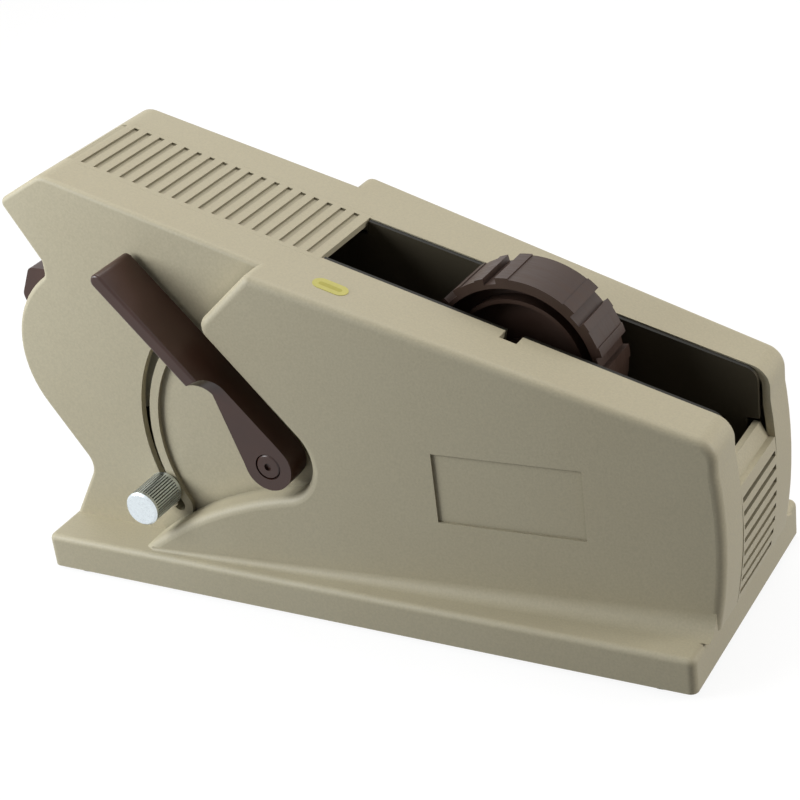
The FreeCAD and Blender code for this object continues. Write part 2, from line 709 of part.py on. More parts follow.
def make_lever():
    body = new_body("lever")
    sketch = new_sketch(body, "lever_side", "XZ_Plane", "Dims.lever_inner")
    boss = dim("boss_radius")
    half = dim("paddle_thickness") / 2
    neck = (dim("arm_length"), 0.0)
    bend = dim("paddle_bend")
    tip = polar(neck, dim("paddle_length"), bend)
    left_neck = polar(neck, half * 1.02, bend / 2 + 90)
    right_neck = polar(neck, half * 1.02, bend / 2 - 90)
    left = 90.0 - 12.0
    points = [polar((0, 0), boss, left), (-boss, 0.0, "arc"), polar((0, 0), boss, -left), right_neck]
    points += [polar(tip, half, bend - 90), polar(tip, half, bend) + ("arc",), polar(tip, half, bend + 90)]
    points.append(left_neck)
    outline(sketch, points)
    pad(body, sketch, "lever_blank", "Dims.lever_outer - Dims.lever_inner")
    plan = new_sketch(body, "lever_plan", "XY_Plane", "-3 * Dims.boss_radius")
    neck_x = dim("arm_length")
    far = -dim("lever_outer") - 2
    foot = (neck_x - 1.0, -dim("arm_outer"))
    crest = (neck_x + 8.5, -dim("lever_outer") - 0.8)
    outline(plan, [(-20.0, far), (-20.0, -dim("boss_outer")), (6.0, -dim("boss_outer")), foot,
                   swing(foot, -2.0, crest), crest, (neck_x + 8.5, far)])
    pocket(body, plan, "lever_arm_relief", "6 * Dims.boss_radius", reverse=True)
    fillet(body, "paddle_rounding", "Dims.lever_edge",
           lambda edge, middle: abs(middle.y + dim("lever_outer")) < 0.01 and middle.x > neck_x + 14)
    bore = new_sketch(body, "lever_bore_outline", "XZ_Plane", "Dims.lever_inner")
    circle(bore, (0, 0), dim("shaft_diameter") / 2)
    pocket(body, bore, "lever_bore", "Dims.boss_outer - Dims.lever_inner - 3", reverse=True)
    seat = new_sketch(body, "cap_seat_outline", "XZ_Plane", "Dims.boss_outer")
    circle(seat, (0, 0), 5.6)
    pocket(body, seat, "cap_seat", "2")
    turn = Placement(Vector(), Rotation(Vector(0, -1, 0), dim("lever_angle")))
    body.Placement = turn
    bind(body, {"Placement.Base.x": "Dims.pivot_x", "Placement.Base.z": "Dims.pivot_z"})
    keep(body, "lever")


def tooth_outline(teeth, root, tip_outwards=0.0):
    """One involute tooth on the +X axis, each flank an arc through three points of the involute."""
    module = dim("gear_module")
    pitch = module * teeth / 2
    base = pitch * math.cos(math.radians(20))
    tip = pitch + module + tip_outwards

    def involute(radius):
        angle = math.acos(min(1.0, base / radius))
        return math.tan(angle) - angle

    half = math.pi / (2 * teeth) - dim("gear_backlash") / (4 * pitch) + involute(pitch)
    start = max(base, root)

    def flank(radius, hand):
        return polar((0, 0), radius, hand * math.degrees(half - involute(radius)))

    middle = (start + tip) / 2
    below = root - 0.6
    low = math.degrees(half - involute(start))
    return [polar((0, 0), below, -low), flank(start, -1), flank(middle, -1) + ("arc",), flank(tip, -1),
            (tip, 0.0, "arc"), flank(tip, 1), flank(middle, 1) + ("arc",), flank(start, 1),
            polar((0, 0), below, low)]


def repeat_teeth(body, tooth, name, count, angle, reverse=False):
    pattern = body.newObject("PartDesign::PolarPattern", name)
    pattern.Originals = [tooth]
    pattern.Axis = (origin_feature(body, "Y_Axis"), [""])
    pattern.Angle = angle
    pattern.Occurrences = count
    pattern.Reversed = reverse
    body.Tip = pattern
    return pattern


def make_sector():
    body = new_body("drive_sector")
    teeth = int(dim("sector_teeth"))
    count = int(dim("sector_cut"))
    step = 360.0 / teeth
    module = dim("gear_module")
    root = module * teeth / 2 - 1.25 * module
    span = (count - 1) * step
    lead = step * 0.5
    sketch = new_sketch(body, "sector_outline", "XZ_Plane", "Dims.sector_y")
    centre = (0.0, 0.0)
    hub = 13.0
    rim_mid = polar(centre, root, lead / 2 - (span + lead) / 2)
    outline(sketch, [polar(centre, hub, 100.0), polar(centre, root, lead), rim_mid + ("arc",),
                     polar(centre, root, -span - lead), polar(centre, hub, -span - 100.0),
                     polar(centre, hub, 180.0 - span / 2) + ("arc",)])
    circle(sketch, centre, dim("shaft_diameter") / 2)
    pad(body, sketch, "sector_plate", "Dims.sector_thickness")
    window = new_sketch(body, "sector_window", "XZ_Plane", "Dims.sector_y")
    outline(window, ring_sector(centre, 24.0, root - 9.0, -span * 0.80, -span * 0.20))
    pocket(body, window, "sector_lightening", "Dims.sector_thickness", reverse=True)
    tooth_sketch = new_sketch(body, "sector_tooth_outline", "XZ_Plane", "Dims.sector_y")
    outline(tooth_sketch, tooth_outline(teeth, root))
    tooth = pad(body, tooth_sketch, "sector_tooth", "Dims.sector_thickness")
    repeat_teeth(body, tooth, "sector_toothing", count, span)
    body.Placement = Placement(Vector(), Rotation(Vector(0, -1, 0), dim("mesh_angle")))
    bind(body, {"Placement.Base.x": "Dims.pivot_x", "Placement.Base.z": "Dims.pivot_z"})
    keep(body, "drive_sector")


def make_pinion():
    body = new_body("drum_pinion")
    teeth = int(dim("pinion_teeth"))
    module = dim("gear_module")
    root = module * teeth / 2 - 1.25 * module
    sketch = new_sketch(body, "pinion_outline", "XZ_Plane", "Dims.pinion_y")
    circle(sketch, (0, 0), root)
    circle(sketch, (0, 0), dim("shaft_diameter") / 2)
    pad(body, sketch, "pinion_blank", "Dims.pinion_thickness")
    tooth_sketch = new_sketch(body, "pinion_tooth_outline", "XZ_Plane", "Dims.pinion_y")
    outline(tooth_sketch, tooth_outline(teeth, root))
    tooth = pad(body, tooth_sketch, "pinion_tooth", "Dims.pinion_thickness")
    repeat_teeth(body, tooth, "pinion_toothing", teeth, 360)
    half_step = 180.0 / teeth
    facing = dim("mesh_angle") + 180 + half_step
    body.Placement = Placement(Vector(), Rotation(Vector(0, -1, 0), facing))
    bind(body, {"Placement.Base.x": "Dims.drum_x", "Placement.Base.z": "Dims.drum_z"})
    keep(body, "drum_pinion")


def make_lever_shaft():
    shaft = rod("lever_shaft", "Dims.shaft_diameter / 2", "-(Dims.boss_outer - 3)",
                "Dims.boss_outer - 3 - Dims.plate_inner + 1", "Dims.pivot_x", "Dims.pivot_z")
    keep(shaft, "lever_shaft")
    outer = -dim("boss_outer")
    head = 5.2
    turned("lever_screw", [(0.0, outer + 1.0), (1.6, outer + 1.0), (1.6, outer - 0.1), (head - 0.5, outer - 0.1),
                           (head, outer + 0.4), (head, outer + 2.0), (0.0, outer + 2.0)],
           x="Dims.pivot_x", z="Dims.pivot_z")
    turned("sector_collar", [(dim("shaft_diameter") / 2, -22.9), (9.0, -22.9), (9.0, -20.9),
                             (dim("shaft_diameter") / 2, -20.9)],
           x="Dims.pivot_x", z="Dims.pivot_z")


def make_return_spring():
    """Flat spiral spring round the lever shaft, wound from half turns of growing radius."""
    body = new_body("return_spring")
    sketch = new_sketch(body, "spring_spiral", "XZ_Plane", "Dims.sector_y + Dims.sector_thickness + 1.5")
    strip = 0.8
    pitch = 2.2
    first = 7.0
    half_turns = 7
    outer = []
    inner = []
    centre_shift = -pitch / 4
    for number in range(half_turns):
        sign = 1 if number % 2 == 0 else -1
        radius = first + number * pitch / 2
        centre_x = centre_shift * sign
        outer.append(((centre_x + sign * radius, 0.0), (centre_x, sign * radius), number))
        inner.append(radius)
    path = []
    for (start, middle, number) in outer:
        path.append(start)
        path.append(middle + ("arc",))
    last_sign = 1 if (half_turns - 1) % 2 == 0 else -1
    last_radius = first + (half_turns - 1) * pitch / 2
    end = (centre_shift * last_sign - last_sign * last_radius, 0.0)
    path.append(end)
    back_end = (end[0] + last_sign * strip, 0.0)
    path.append(back_end)
    for (start, middle, number) in reversed(outer):
        sign = 1 if number % 2 == 0 else -1
        radius = inner[number] - strip
        centre_x = centre_shift * sign
        path.append((centre_x, sign * radius, "arc"))
        path.append((centre_x + sign * radius, 0.0))
    outline(sketch, path)
    pad(body, sketch, "spring_strip", "4")
    bind(body, {"Placement.Base.x": "Dims.pivot_x", "Placement.Base.z": "Dims.pivot_z"})
    keep(body, "return_spring")
    post = rod("spring_post", "1.2", "-(Dims.front_half - Dims.shell_wall)",
               "Dims.front_half - Dims.shell_wall - Dims.sector_y - Dims.sector_thickness - 1.6",
               "Dims.pivot_x + %.2f" % (end[0] - 1.3), "Dims.pivot_z")
    keep(post, "spring_post")
    bore = dim("shaft_diameter") / 2
    start = -dim("sector_y") - dim("sector_thickness")
    turned("spring_collar", [(bore, start), (5.3, start), (5.3, start - 6.0), (bore, start - 6.0)],
           x="Dims.pivot_x", z="Dims.pivot_z")


# Feed drum on its shaft, and the guide roller behind it


def make_drum():
    shaft_radius = dim("shaft_diameter") / 2
    place = {"x": "Dims.drum_x", "z": "Dims.drum_z"}
    half = dim("drum_half")
    outer = dim("drum_radius")
    rim = outer - 3.5
    turned("drum_core", [(shaft_radius, -half), (10.0, -half), (10.0, -3.0), (rim, -3.0), (rim, -half),
                         (outer, -half), (outer, half), (rim, half), (rim, 3.0), (10.0, 3.0),
                         (10.0, half), (shaft_radius, half)], **place)
    tyre = []
    skin = outer + dim("tyre_thickness")
    ridges = 5
    width = 2 * half / ridges
    tyre.append((outer, half))
    tyre.append((outer, -half))
    for number in range(ridges):
        start = -half + number * width
        tyre += [(skin, start), (skin, start + width - 1.6)]
        if number < ridges - 1:
            tyre += [(skin - 1.2, start + width - 1.6), (skin - 1.2, start + width)]
        else:
            tyre[-1] = (skin, half)
    turned("drum_tyre", tyre, **place)
    shaft = rod("drum_shaft", "Dims.shaft_diameter / 2", "-(Dims.pinion_y + Dims.pinion_thickness + 2)",
                "Dims.pinion_y + Dims.pinion_thickness + 2 + Dims.plate_inner + Dims.plate_thickness + 4",
                "Dims.drum_x", "Dims.drum_z")
    keep(shaft, "drum_shaft")
    clip = dim("plate_inner") + dim("plate_thickness") + 1.5
    turned("drum_clip", [(shaft_radius, clip), (6.5, clip), (6.5, clip + 1.5), (shaft_radius, clip + 1.5)],
           **place)


def make_guide_roller():
    place = {"x": "Dims.roller_x", "z": "Dims.roller_z"}
    pin = rod("roller_pin", "Dims.roller_pin / 2", "-(Dims.plate_inner + Dims.plate_thickness)",
              "2 * (Dims.plate_inner + Dims.plate_thickness)", place["x"], place["z"])
    keep(pin, "roller_pin")
    bore = dim("roller_pin") / 2 + dim("bush_gap")
    skin = dim("roller_radius")
    end = dim("plate_inner") - 0.6
    rim = skin + 1.5
    turned("guide_roller", [(bore, -end), (rim, -end), (rim, -end + 2.0), (skin, -end + 3.0),
                            (skin, end - 3.0), (rim, end - 2.0), (rim, end), (bore, end)], **place)


# Cutter head under the nose


def make_cutter():
    body = new_body("cutter_head")
    radius = dim("bulge_radius") + 0.2
    first = 126.0
    last = 164.0
    sketch = new_sketch(body, "head_section")
    middle = (first + last) / 2
    low = polar(BULGE, radius, last)
    chin = (-157.0, 116.0)
    brow = (-151.34, 128.49)
    inner_top = polar(BULGE, radius, first)
    points = [inner_top]
    points += rounded(inner_top, brow, chin, 3.0)
    points += rounded(brow, chin, low, 4.0)
    points += [low, polar(BULGE, radius, middle) + ("arc",)]
    outline(sketch, points)
    pad(body, sketch, "head_block", "2 * Dims.head_half", both=True)
    keep(body, "cutter_head")
    run = flat(brow) - flat(chin)
    make_blade(flat(chin) + run * 0.25, flat(chin) + run * 0.79)


def make_blade(low, high):
    """Serrated blade flat on the front of the head, its teeth standing past the upper edge."""
    face = (high - low).Length
    lean = Rotation(Vector(0, -1, 0), math.degrees(math.atan2(high.y - low.y, high.x - low.x)))
    seat = Vector(low.x, 0, low.y)
    body = new_body("cutter_blade")
    sketch = new_sketch(body, "blade_outline", "XY_Plane")
    half = dim("blade_half")
    pitch = dim("blade_pitch")
    count = int(round(2 * half / pitch))
    root = face + 2.0
    tip = root + 2.0
    points = [(1.0, half), (1.0, -half), (root, -half)]
    for number in range(count):
        start = -half + number * pitch
        points += [(tip, start + pitch / 2), (root, start + pitch)]
    outline(sketch, points)
    pad(body, sketch, "blade_strip", "Dims.blade_thickness")
    body.Placement = Placement(seat, lean)
    keep(body, "cutter_blade")
    screws = []
    for y in (-9.0, 9.0):
        screw = doc.addObject("Part::Cylinder", "blade_screw")
        foot = seat + lean.multVec(Vector(face / 2, y, dim("blade_thickness")))
        screw.Placement = Placement(foot, lean)
        screw.Radius = 2.4
        screw.Height = 1.2
        screws.append(screw)
    group("blade_screws", screws)


def make_tape_guide():
    """Curved strip over the drum that leads the tape to the mouth."""
    body = new_body("tape_guide")
    sketch = new_sketch(body, "guide_section")
    inner = dim("drum_radius") + dim("tyre_thickness") + 2.5
    outline(sketch, ring_sector(DRUM, inner, inner + 1.2, 62.0, 118.0))
    pad(body, sketch, "guide_strip", "2 * Dims.plate_inner", both=True)
    keep(body, "tape_guide")


# Length stop: stud through the arc slot, nut behind it, knurled knob in front


def make_length_stop():
    centre = polar(PIVOT, dim("slot_radius"), dim("knob_angle"))
    where = {"x": str(round(centre[0], 3)), "z": str(round(centre[1], 3))}
    stud = dim("stud_diameter") / 2
    inner = dim("front_half") - dim("shell_wall")
    washer = inner - 0.3
    turned("stop_stud", [(0.0, -(washer - 3.2)), (6.5, -(washer - 3.2)), (6.5, -washer), (stud, -washer),
                         (stud, -(dim("knob_outer") - 4)), (0.0, -(dim("knob_outer") - 4))], **where)
    body = new_body("length_knob")
    sketch = new_sketch(body, "knob_section", "XY_Plane")
    bore = stud + 0.05
    skin = dim("knob_diameter") / 2
    near = -dim("knob_inner")
    far = -dim("knob_outer")
    outline(sketch, [(bore, near), (skin - 1.0, near), (skin, near - 1.0), (skin, far + 0.8),
                     (skin - 0.8, far), (0.0, far), (0.0, far + 3.6), (bore, far + 3.6)])
    turn = body.newObject("PartDesign::Revolution", "knob_blank")
    turn.Profile = sketch
    turn.ReferenceAxis = (sketch, ["V_Axis"])
    turn.Angle = 360
    knurl = new_sketch(body, "knurl_outline", "XZ_Plane", "Dims.knob_inner + 2.5")
    count = int(dim("knurl_count"))
    for number in range(count):
        angle = number * 360.0 / count
        outline(knurl, [polar((0, 0), skin - dim("knurl_depth"), angle),
                        polar((0, 0), skin + 0.3, angle + 130.0 / count),
                        polar((0, 0), skin + 0.3, angle - 130.0 / count)])
    pocket(body, knurl, "knurling", "Dims.knob_outer - Dims.knob_inner - 4.5", reverse=True)
    bind(body, {"Placement.Base.x": where["x"], "Placement.Base.z": where["z"]})
    keep(body, "length_knob")


# Tape hub on its lift-out axle


def pad_outline(inner, first, last):
    """Section of a pad that grips the core, with a lip at each end."""
    centre = (0.0, 0.0)
    face = dim("hub_radius")
    lip = dim("hub_lip")
    width = dim("lip_width") * (1.0 if last - first > 30 else 0.7)
    middle = (first + last) / 2
    return [polar(centre, lip, first), polar(centre, lip, first + width / 2) + ("arc",),
            polar(centre, lip, first + width), polar(centre, face, first + width),
            polar(centre, face, middle) + ("arc",), polar(centre, face, last - width),
            polar(centre, lip, last - width), polar(centre, lip, last - width / 2) + ("arc",),
            polar(centre, lip, last), polar(centre, inner, last), polar(centre, inner, middle) + ("arc",),
            polar(centre, inner, first)]


def make_hub():
    place = {"x": "Dims.axle_x", "z": "Dims.axle_z"}
    axle = rod("hub_axle", "Dims.axle_diameter / 2", "-(Dims.notch_reach - 0.4)",
               "2 * (Dims.notch_reach - 0.4)", place["x"], place["z"])
    keep(axle, "hub_axle")
    body = new_body("tape_hub")
    sketch = new_sketch(body, "hub_section", "XY_Plane")
    bore = dim("axle_diameter") / 2 + dim("bush_gap")
    rim = dim("hub_rim")
    half = dim("hub_half")
    inside = rim - dim("rim_wall")
    outline(sketch, [(bore, -half - 2.0), (9.0, -half - 2.0), (9.0, -2.0), (26.0, -2.0), (26.0, -8.0),
                     (27.6, -8.0), (27.6, -2.0), (inside, -2.0), (inside, -half), (rim, -half), (rim, half),
                     (inside, half), (inside, 2.0), (27.6, 2.0), (27.6, 8.0), (26.0, 8.0), (26.0, 2.0),
                     (9.0, 2.0), (9.0, half + 2.0), (bore, half + 2.0)])
    turn = body.newObject("PartDesign::Revolution", "hub_wheel")
    turn.Profile = sketch
    turn.ReferenceAxis = (sketch, ["V_Axis"])
    turn.Angle = 360
    sets = int(dim("pad_sets"))
    step = 360.0 / sets
    pads = new_sketch(body, "hub_pads", "XZ_Plane")
    start = 45.0
    wide = dim("wide_pad")
    gap = dim("pad_gap")
    narrow = dim("narrow_pad")
    outline(pads, pad_outline(rim - 0.6, start, start + wide))
    narrow_start = start + wide + gap
    outline(pads, pad_outline(rim - 0.6, narrow_start, narrow_start + narrow))
    segment = pad(body, pads, "hub_pad_set", "2 * Dims.hub_half", both=True)
    repeat_teeth(body, segment, "hub_pad_ring", sets, 360 - step)
    bind(body, {"Placement.Base.x": place["x"], "Placement.Base.z": place["z"]})
    keep(body, "tape_hub")


make_base()
make_ballast()
make_feet()
make_ballast_screws()
make_shell("lever_side_shell", -1)
make_shell("plain_side_shell", 1)
make_top_cover()
make_rear_panel()
make_plate("lever_side_plate", -1)
make_plate("plain_side_plate", 1)
make_well_floor()
make_spacers()
make_bushes()
make_lever()
make_sector()
make_pinion()
make_lever_shaft()
make_return_spring()
make_drum()
make_guide_roller()
make_cutter()
make_tape_guide()
make_length_stop()
make_hub()
doc.recompute()

for thing in doc.Objects:
    for word in ("Invalid", "Error"):
        if word in thing.State:
            raise RuntimeError("%s (%s) failed: %s" % (thing.Label, thing.Name, thing.State))
for piece in pieces:
    if piece.Shape.isNull() or not piece.Shape.isValid():
        raise RuntimeError("%s has no valid shape" % piece.Label)

os.makedirs("parts", exist_ok=True)
for piece in pieces:
    solids = piece.Shape.Solids
    print("%-22s %d solid(s) %10.1f mm3" % (piece.Label, len(solids), piece.Shape.Volume))
    piece.Shape.exportStep("parts/%s.step" % piece.Label)
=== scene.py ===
import bpy
import math
from mathutils import Matrix, Vector


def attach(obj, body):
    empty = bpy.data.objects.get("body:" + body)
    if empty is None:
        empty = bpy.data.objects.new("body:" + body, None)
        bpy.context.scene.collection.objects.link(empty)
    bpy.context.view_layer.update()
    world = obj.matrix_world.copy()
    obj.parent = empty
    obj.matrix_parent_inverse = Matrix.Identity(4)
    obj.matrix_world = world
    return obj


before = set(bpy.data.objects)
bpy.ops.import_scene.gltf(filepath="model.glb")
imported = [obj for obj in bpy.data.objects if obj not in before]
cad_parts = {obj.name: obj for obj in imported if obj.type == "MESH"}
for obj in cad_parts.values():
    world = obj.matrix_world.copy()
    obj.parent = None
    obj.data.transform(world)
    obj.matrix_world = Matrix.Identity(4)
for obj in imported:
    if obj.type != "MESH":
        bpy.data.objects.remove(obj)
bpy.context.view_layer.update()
bpy.ops.object.select_all(action="DESELECT")

# Camera: above and behind the lever side, looking down over the tape well towards the nose, as in the photo.
# Place, turn and lens come from a fit to the base, the top edges and the grooves of the cover.
scene = bpy.context.scene
camera_data = bpy.data.cameras.new("photo_camera")
camera_data.lens = 88.6625
camera_data.sensor_width = 36.0
camera_data.clip_start = 0.01
camera = bpy.data.objects.new("photo_camera", camera_data)
camera.location = (0.36734, -0.60495, 0.43644)
camera.rotation_euler = [math.radians(turn) for turn in (62.56771, 6.52256, 27.81921)]
scene.collection.objects.link(camera)
scene.camera = camera

# Base flange: a tray injection moulded in beige ABS, wide enough to keep the machine from tipping when the
# lever is pushed. Its top edge is rounded. The housing stands on it, and ballast and feet sit below.
# Sizes are in metres here and in the other sections.
fresh_beige = "#bcb49b"
yellowed_beige = "#b5ab90"
yellowing_size = 0.060
grain_size = 0.0009
grain_depth = 0.0003
shade_reach = 0.005


def linear(hex_colour):
    """sRGB hex colour to linear, with alpha."""
    channels = [int(hex_colour[at:at + 2], 16) / 255 for at in (1, 3, 5)]
    return [c / 12.92 if c <= 0.04045 else ((c + 0.055) / 1.055) ** 2.4 for c in channels] + [1.0]


def add(tree, kind, links=None, **settings):
    """A node with its settings, and its inputs set to a value or linked to another node's output."""
    made = tree.nodes.new(kind)
    for name, value in settings.items():
        setattr(made, name, value)
    for name, value in (links or {}).items():
        if isinstance(value, bpy.types.NodeSocket):
            tree.links.new(value, made.inputs[name])
        else:
            made.inputs[name].default_value = value
    return made


def new_material(name, **sockets):
    """An empty material with its surface shader, the shader's constant sockets set."""
    made = bpy.data.materials.new(name)
    made.use_nodes = True
    shader = made.node_tree.nodes["Principled BSDF"]
    for socket, value in sockets.items():
        shader.inputs[socket.replace("_", " ")].default_value = value
    return made, made.node_tree, shader


def finish_with(material, *names):
    """Give CAD pieces their material."""
    for name in names:
        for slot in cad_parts[name].material_slots:
            slot.material = material


# Moulded ABS is matt with a soft sheen, and old beige has yellowed in patches about 60 mm across. The grain
# left by the spark-eroded mould is about 0.5 mm on the real part and drawn at 0.9 mm so that it shows.
# Grooves and inner corners are darkened, a painted shade.
beige_abs, tree, shader = new_material("beige_moulded_abs", IOR=1.53)
place = add(tree, "ShaderNodeTexCoord")
patches = add(tree, "ShaderNodeTexNoise", {"Vector": place.outputs["Object"], "Scale": 1 / yellowing_size,
                                           "Detail": 3.0})
grain = add(tree, "ShaderNodeTexNoise", {"Vector": place.outputs["Object"], "Scale": 1 / grain_size,
                                         "Detail": 2.0})
tint = add(tree, "ShaderNodeMix", {"Factor": patches.outputs["Fac"], "A": linear(fresh_beige),
                                   "B": linear(yellowed_beige)}, data_type="RGBA")
speck = add(tree, "ShaderNodeMapRange", {"Value": grain.outputs["Fac"], "From Min": 0.3, "From Max": 0.7,
                                         "To Min": 0.93, "To Max": 1.04})
# Painted shade: grooves and inner corners are darkened by ambient occlusion within each piece.
occlusion = add(tree, "ShaderNodeAmbientOcclusion", {"Distance": shade_reach}, samples=8, only_local=True)
dust_and_painted_shade = add(tree, "ShaderNodeMapRange", {"Value": occlusion.outputs["AO"], "From Min": 0.2, "From Max": 0.95,
                                        "To Min": 0.5, "To Max": 1.0})
shade = add(tree, "ShaderNodeMath", {0: speck.outputs["Result"], 1: dust_and_painted_shade.outputs["Result"]},
            operation="MULTIPLY")
colour = add(tree, "ShaderNodeMix", {"Factor": 1.0, "A": tint.outputs["Result"],
                                     "B": shade.outputs["Value"]}, data_type="RGBA", blend_type="MULTIPLY")
tree.links.new(colour.outputs["Result"], shader.inputs["Base Color"])
sheen = add(tree, "ShaderNodeMapRange", {"Value": grain.outputs["Fac"], "From Min": 0.3, "From Max": 0.7,
                                         "To Min": 0.5, "To Max": 0.62})
tree.links.new(sheen.outputs["Result"], shader.inputs["Roughness"])
bump = add(tree, "ShaderNodeBump", {"Height": grain.outputs["Fac"], "Strength": 0.25,
                                    "Distance": grain_depth})
tree.links.new(bump.outputs["Normal"], shader.inputs["Normal"])
finish_with(beige_abs, "base")

# Rubber feet: four black pads, moulded with a slight taper and stuck under the corners of the base.
# Black rubber is dull, with a bloom that greys it in patches about 6 mm across.
clean_rubber = "#1c1b1a"
bloomed_rubber = "#302e2c"
bloom_size = 0.006
bloom_depth = 0.0002
black_rubber, tree, shader = new_material("black_rubber", IOR=1.52, Roughness=0.8)
place = add(tree, "ShaderNodeTexCoord")
bloom = add(tree, "ShaderNodeTexNoise", {"Vector": place.outputs["Object"], "Scale": 1 / bloom_size,
                                         "Detail": 4.0})
colour = add(tree, "ShaderNodeMix", {"Factor": bloom.outputs["Fac"], "A": linear(clean_rubber),
                                     "B": linear(bloomed_rubber)}, data_type="RGBA")
tree.links.new(colour.outputs["Result"], shader.inputs["Base Color"])
bump = add(tree, "ShaderNodeBump", {"Height": bloom.outputs["Fac"], "Strength": 0.2,
                                    "Distance": bloom_depth})
tree.links.new(bump.outputs["Normal"], shader.inputs["Normal"])
finish_with(black_rubber, "rubber_feet")

# Ballast plate: a slab of rolled steel in the hollow of the base, held by four screws from below. Zinc
# plating leaves steel bright grey, and rolling and drawing leave fine lines along Y. They are about 0.05 mm
# apart on the real parts and drawn at 0.4 mm so that they show.
dull_zinc = "#b9b9b4"
bright_zinc = "#d4d4d0"
line_spacing = 0.0004
line_stretch = 12.5
plated_steel, tree, shader = new_material("zinc_plated_steel", Metallic=1.0)
place = add(tree, "ShaderNodeTexCoord")
drawn = add(tree, "ShaderNodeMapping", {"Vector": place.outputs["Object"],
                                        "Scale": (1, 1 / line_stretch, 1)})
lines = add(tree, "ShaderNodeTexNoise", {"Vector": drawn.outputs["Vector"], "Scale": 1 / line_spacing,
                                         "Detail": 3.0})
colour = add(tree, "ShaderNodeMix", {"Factor": lines.outputs["Fac"], "A": linear(dull_zinc),
                                     "B": linear(bright_zinc)}, data_type="RGBA")
tree.links.new(colour.outputs["Result"], shader.inputs["Base Color"])
polish = add(tree, "ShaderNodeMapRange", {"Value": lines.outputs["Fac"], "To Min": 0.18, "To Max": 0.38})
tree.links.new(polish.outputs["Result"], shader.inputs["Roughness"])
finish_with(plated_steel, "ballast_plate", "ballast_screws")

# Inner frame: two pressed steel plates with spacers between them, and a pan under the tape roll. All are
# finished in black stoving enamel, and plated screws hold the plates to the ends of the spacers.
plain_enamel = "#454034"
dusty_enamel = "#524b3d"
shaded_top_enamel = "#1a1813"
dust_size = 0.030
peel_size = 0.002
peel_depth = 0.0003

# Stoving enamel is satin, dusty in patches about 30 mm across, with a slight orange peel of 2 mm. The faces
# that look up are painted blacker, a painted shade.
black_enamel, tree, shader = new_material("black_stoving_enamel", IOR=1.5, Roughness=0.42,
                                          Specular_IOR_Level=0.2)
place = add(tree, "ShaderNodeTexCoord")
peel = add(tree, "ShaderNodeTexNoise", {"Vector": place.outputs["Object"], "Scale": 1 / peel_size,
                                        "Detail": 2.0})
dust_and_painted_shade = add(tree, "ShaderNodeTexNoise", {"Vector": place.outputs["Object"], "Scale": 1 / dust_size,
                                        "Detail": 4.0})
colour = add(tree, "ShaderNodeMix", {"Factor": dust_and_painted_shade.outputs["Fac"], "A": linear(plain_enamel),
                                     "B": linear(dusty_enamel)}, data_type="RGBA")
# Painted shade: faces that look up are mixed towards a darker black.
face = add(tree, "ShaderNodeNewGeometry")
facing = add(tree, "ShaderNodeSeparateXYZ", {"Vector": face.outputs["Normal"]})
upward = add(tree, "ShaderNodeMapRange", {"Value": facing.outputs["Z"], "From Min": 0.5, "From Max": 0.8})
shaded_tops = add(tree, "ShaderNodeMix", {"Factor": upward.outputs["Result"], "A": colour.outputs["Result"],
                                    "B": linear(shaded_top_enamel)}, data_type="RGBA")
tree.links.new(shaded_tops.outputs["Result"], shader.inputs["Base Color"])
bump = add(tree, "ShaderNodeBump", {"Height": peel.outputs["Fac"], "Strength": 0.12,
                                    "Distance": peel_depth})
tree.links.new(bump.outputs["Normal"], shader.inputs["Normal"])
finish_with(black_enamel, "lever_side_plate", "plain_side_plate", "well_floor", "frame_spacers")
finish_with(plated_steel, "spacer_screws")

# Bushes: flanged rings of sintered bronze that carry the drum shaft and the lever shaft. Three are pressed
# into the plates and one into the lever-side shell. The metal is dull and faintly speckled by its pores,
# which are too fine to see on the real parts and drawn at 0.6 mm.
dark_pores = "#7c6437"
bronze_grains = "#b0925a"
pore_size = 0.0006
sintered_bronze, tree, shader = new_material("sintered_bronze", Metallic=1.0, Roughness=0.45)
place = add(tree, "ShaderNodeTexCoord")
pores = add(tree, "ShaderNodeTexNoise", {"Vector": place.outputs["Object"], "Scale": 1 / pore_size,
                                         "Detail": 2.0})
colour = add(tree, "ShaderNodeMix", {"Factor": pores.outputs["Fac"], "A": linear(dark_pores),
                                     "B": linear(bronze_grains)}, data_type="RGBA")
tree.links.new(colour.outputs["Result"], shader.inputs["Base Color"])
finish_with(sintered_bronze, "drum_bush_lever_side", "drum_bush_plain_side", "lever_bush_inner",
            "lever_bush_outer")

# Feed drum: a moulded nylon core with a ribbed rubber tyre that grips the tape, on a steel shaft with a
# nylon pinion at one end and a clip at the other. Natural nylon is milky and waxy, with faint clouds about
# 10 mm across.
pale_nylon = "#d8d5c8"
aged_nylon = "#c9c4b2"
cloud_size = 0.010
natural_nylon, tree, shader = new_material("natural_nylon", IOR=1.53, Roughness=0.45)
place = add(tree, "ShaderNodeTexCoord")
clouds = add(tree, "ShaderNodeTexNoise", {"Vector": place.outputs["Object"], "Scale": 1 / cloud_size,
                                          "Detail": 3.0})
colour = add(tree, "ShaderNodeMix", {"Factor": clouds.outputs["Fac"], "A": linear(pale_nylon),
                                     "B": linear(aged_nylon)}, data_type="RGBA")
tree.links.new(colour.outputs["Result"], shader.inputs["Base Color"])
finish_with(natural_nylon, "drum_core", "drum_pinion")
finish_with(black_rubber, "drum_tyre")
finish_with(plated_steel, "drum_shaft", "drum_clip")

# Lever shaft: drawn steel, zinc plated, with the toothed nylon sector that turns the pinion. A steel collar
# holds the sector. A flat spiral spring winds round another, bears on a post and brings the lever back.
finish_with(plated_steel, "lever_shaft", "sector_collar", "spring_collar", "return_spring", "spring_post")
finish_with(natural_nylon, "drive_sector")

# Guide roller and tape guide: the tape leaves the roll over a flanged nylon roller, which turns on a steel
# pin between the plates, and a curved strip of plated steel above the drum leads it to the mouth.
finish_with(natural_nylon, "guide_roller")
finish_with(plated_steel, "roller_pin", "tape_guide")

